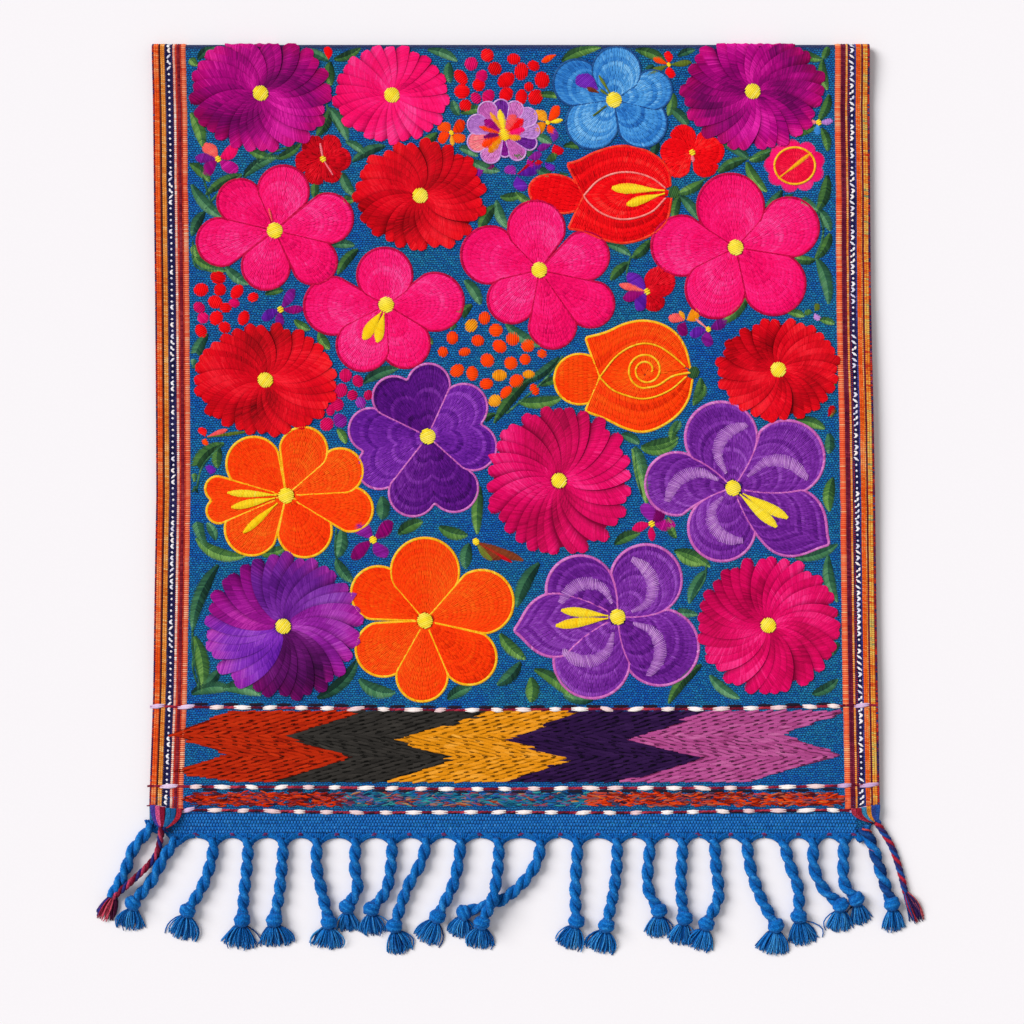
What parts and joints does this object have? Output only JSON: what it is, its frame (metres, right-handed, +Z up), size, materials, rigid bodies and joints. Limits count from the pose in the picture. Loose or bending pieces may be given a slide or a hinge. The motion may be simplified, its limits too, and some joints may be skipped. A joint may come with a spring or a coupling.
{
  "type": "embroidered table runner, folded in half",
  "caption": "Narrow woven table runner folded once across its middle, with an embroidered flower field, striped sides and a knotted cord fringe",
  "frame": {"origin": "middle of the whole outline, on the surface that it lies on", "axes": "+X across the runner to the right, +Y along it towards the fold, +Z up"},
  "size_m": [0.4414, 0.4844, 0.0106],
  "materials": {
    "embroidered_cloth": "hand-woven blue cotton, covered with raised satin-stitch flowers in pink, red, violet, orange and blue",
    "cord_blue": "two-ply twisted blue cotton cord, knotted, with a cut tuft",
    "cord_mixed": "two-ply twisted cord of maroon, pink, navy and blue threads"
  },
  "bodies": {
    "root": {"runner_cloth": "embroidered_cloth", "fringe_front": "cord_blue", "corner_cord_left": "cord_mixed", "corner_cord_right": "cord_mixed"}
  },
  "joints": []
}
